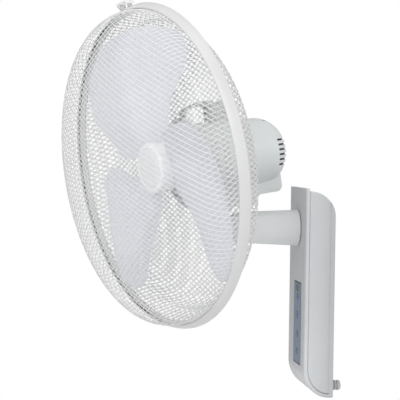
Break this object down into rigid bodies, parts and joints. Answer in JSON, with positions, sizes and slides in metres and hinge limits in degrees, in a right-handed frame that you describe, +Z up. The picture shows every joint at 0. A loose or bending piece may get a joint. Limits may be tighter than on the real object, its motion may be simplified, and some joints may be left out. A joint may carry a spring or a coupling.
{
  "type": "wall mounted fan",
  "caption": "Wall mounted fan with a domed diamond mesh cage, a wide bladed propeller, a swinging and tilting motor head on a tapered arm, and a wall unit with a control panel.",
  "frame": {"origin": "centre of the wall plate on the wall", "axes": "+Z up, +Y into the wall, -Y the way the fan blows at mid swing, +X to the side the head is swung towards"},
  "size_m": [0.4057, 0.3803, 0.535],
  "materials": {
    "case": "satin moulded plastic, warm white",
    "motor_case": "satin moulded plastic, pale grey white",
    "plate_steel": "zinc plated sheet",
    "panel": "smooth printed film, slate grey",
    "window": "smoked clear plastic",
    "button": "smooth moulded plastic, slate grey",
    "board": "lacquered laminate",
    "screw": "zinc plated steel",
    "capacitor": "moulded resin case",
    "terminal": "moulded nylon",
    "gland": "moulded nylon, grey",
    "handle": "satin moulded plastic, mid grey",
    "bell": "black painted steel pressing",
    "gear": "acetal",
    "lamination": "stacked electrical steel",
    "winding": "enamelled copper wire",
    "bearing": "ground steel",
    "net": "coated expanded metal, pale grey white",
    "ring": "smooth moulded plastic, white",
    "latch": "translucent moulded plastic",
    "shaft": "polished steel",
    "blade": "translucent pale lavender plastic",
    "cap": "smooth moulded plastic, pale grey"
  },
  "bodies": {
    "wall_unit": {"back_housing": "case", "front_cover": "case", "wall_plate": "plate_steel", "control_panel": "panel", "display_window": "window", "control_board": "board", "board_screws": "screw", "run_capacitor": "capacitor", "terminal_block": "terminal", "cover_screws": "screw", "cable_gland": "gland", "arm_tube": "case", "arm_screws": "screw", "tilt_bolt": "screw", "tilt_nut": "screw"},
    "power_key": {"power_button": "button"},
    "speed_key": {"speed_button": "button"},
    "swing_key": {"swing_button": "button"},
    "timer_key": {"timer_button": "button"},
    "neck": {"neck": "case", "sector_gear": "gear", "swing_screw": "screw"},
    "head": {"gear_housing": "motor_case", "housing_screws": "screw", "swing_bush": "gear", "swing_motor": "plate_steel", "motor_front_cover": "motor_case", "carry_handle": "handle", "motor_rear_cover": "motor_case", "motor_end_bracket": "bell", "stator_core": "lamination", "stator_windings": "winding", "front_bearing": "bearing", "rear_bearing": "bearing", "motor_screws": "screw", "front_grille": "net", "rear_grille": "net", "grille_plate": "net", "grille_nut": "case", "clamp_ring": "ring", "latch_pin": "screw"},
    "pinion": {"swing_pinion": "gear"},
    "latch": {"ring_latch": "latch"},
    "rotor": {"motor_shaft": "shaft", "rotor_core": "lamination", "drive_pin": "shaft", "propeller": "blade", "hub_cap": "cap"}
  },
  "joints": [
    {"name": "tilt", "type": "hinge", "parent": "wall_unit", "child": "neck", "pos_m": [0, -0.149, 0.0863], "axis": [1, 0, 0], "range_deg": [-8.74, 21.26]},
    {"name": "swing", "type": "hinge", "parent": "neck", "child": "head", "pos_m": [0, -0.149, 0.0863], "axis": [0, -0.152, 0.9884], "range_deg": [-65.75, 18.25]},
    {"name": "pinion_spin", "type": "hinge", "parent": "head", "child": "pinion", "pos_m": [-0.00967, -0.12729, 0.08964], "axis": [0, -0.152, 0.9884], "range_deg": [-197.25, 54.75]},
    {"name": "blade_spin", "type": "hinge", "parent": "head", "child": "rotor", "pos_m": [0.0346, -0.24116, 0.16835], "axis": [0.4027, -0.9047, -0.1391], "continuous": true},
    {"name": "latch_open", "type": "hinge", "parent": "head", "child": "latch", "pos_m": [0.00947, -0.29, 0.38449], "axis": [0.4027, -0.9047, -0.1391], "range_deg": [0, 70]},
    {"name": "power_press", "type": "slide", "parent": "wall_unit", "child": "power_key", "axis": [0, 1, 0], "range_m": [0, 0.001], "stiffness_N_per_m": 300},
    {"name": "speed_press", "type": "slide", "parent": "wall_unit", "child": "speed_key", "axis": [0, 1, 0], "range_m": [0, 0.001], "stiffness_N_per_m": 300},
    {"name": "swing_press", "type": "slide", "parent": "wall_unit", "child": "swing_key", "axis": [0, 1, 0], "range_m": [0, 0.001], "stiffness_N_per_m": 300},
    {"name": "timer_press", "type": "slide", "parent": "wall_unit", "child": "timer_key", "axis": [0, 1, 0], "range_m": [0, 0.001], "stiffness_N_per_m": 300}
  ],
  "couplings": [
    {"joint": "pinion_spin", "follows": "swing", "ratio": 3}
  ]
}
